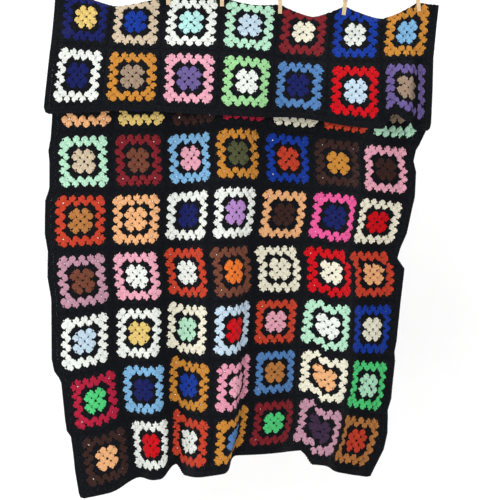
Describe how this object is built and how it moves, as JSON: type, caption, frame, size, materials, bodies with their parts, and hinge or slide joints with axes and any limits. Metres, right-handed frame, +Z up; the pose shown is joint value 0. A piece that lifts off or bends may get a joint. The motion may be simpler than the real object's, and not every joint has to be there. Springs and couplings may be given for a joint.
{
  "type": "granny square blanket with clothes pegs",
  "caption": "Crocheted blanket of bright squares joined in black, folded over at the top and hanging in soft folds from wooden clothes pegs.",
  "frame": {"origin": "where the line runs through the jaws of the third peg from the left, just above the cloth's fold", "axes": "+Z up, +X along the line to the right as seen from the front, front towards -Y"},
  "size_m": [1.0655, 0.1128, 1.4291],
  "materials": {
    "joined_squares": "crocheted acrylic yarn in many colours on black",
    "black_edging": "crocheted black yarn",
    "peg_wood": "plain unvarnished wood",
    "spring_steel": "drawn steel wire"
  },
  "bodies": {
    "root": {"blanket": "joined_squares", "edging": "black_edging", "peg_1_front_leg": "peg_wood", "peg_1_back_leg": "peg_wood", "peg_1_spring": "spring_steel", "peg_2_front_leg": "peg_wood", "peg_2_back_leg": "peg_wood", "peg_2_spring": "spring_steel", "peg_3_front_leg": "peg_wood", "peg_3_back_leg": "peg_wood", "peg_3_spring": "spring_steel", "peg_4_front_leg": "peg_wood", "peg_4_back_leg": "peg_wood", "peg_4_spring": "spring_steel", "peg_5_front_leg": "peg_wood", "peg_5_back_leg": "peg_wood", "peg_5_spring": "spring_steel", "peg_6_front_leg": "peg_wood", "peg_6_back_leg": "peg_wood", "peg_6_spring": "spring_steel"}
  },
  "joints": []
}
